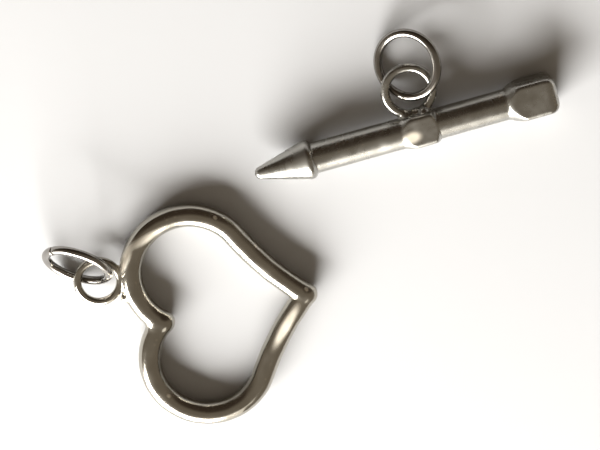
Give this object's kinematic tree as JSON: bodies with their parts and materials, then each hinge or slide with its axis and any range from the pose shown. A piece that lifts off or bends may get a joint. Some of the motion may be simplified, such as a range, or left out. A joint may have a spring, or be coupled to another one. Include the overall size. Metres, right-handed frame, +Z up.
{
  "type": "heart and bar toggle clasp",
  "caption": "Toggle clasp of an open heart ring and an arrow-shaped bar, each with a soldered wire eye and a cut jump ring for a chain's end, lying unfastened.",
  "frame": {"origin": "middle of the whole clasp's box on the surface that it lies on, at z = 0", "axes": "+X along the clasp from the heart's jump ring to the arrow's square tail, +Y from the heart towards the bar's jump ring, +Z up"},
  "size_m": [0.0678, 0.0541, 0.0079],
  "materials": {
    "gunmetal_heart": "cast zinc alloy, polished and plated in dark gunmetal nickel",
    "gunmetal_bar": "cast zinc alloy, polished and plated in dark gunmetal nickel",
    "gunmetal_wire": "drawn steel wire, plated in dark gunmetal nickel"
  },
  "bodies": {
    "root": {"heart_ring": "gunmetal_heart", "heart_jump_ring": "gunmetal_wire", "arrow_bar": "gunmetal_bar", "bar_jump_ring": "gunmetal_wire"}
  },
  "joints": []
}
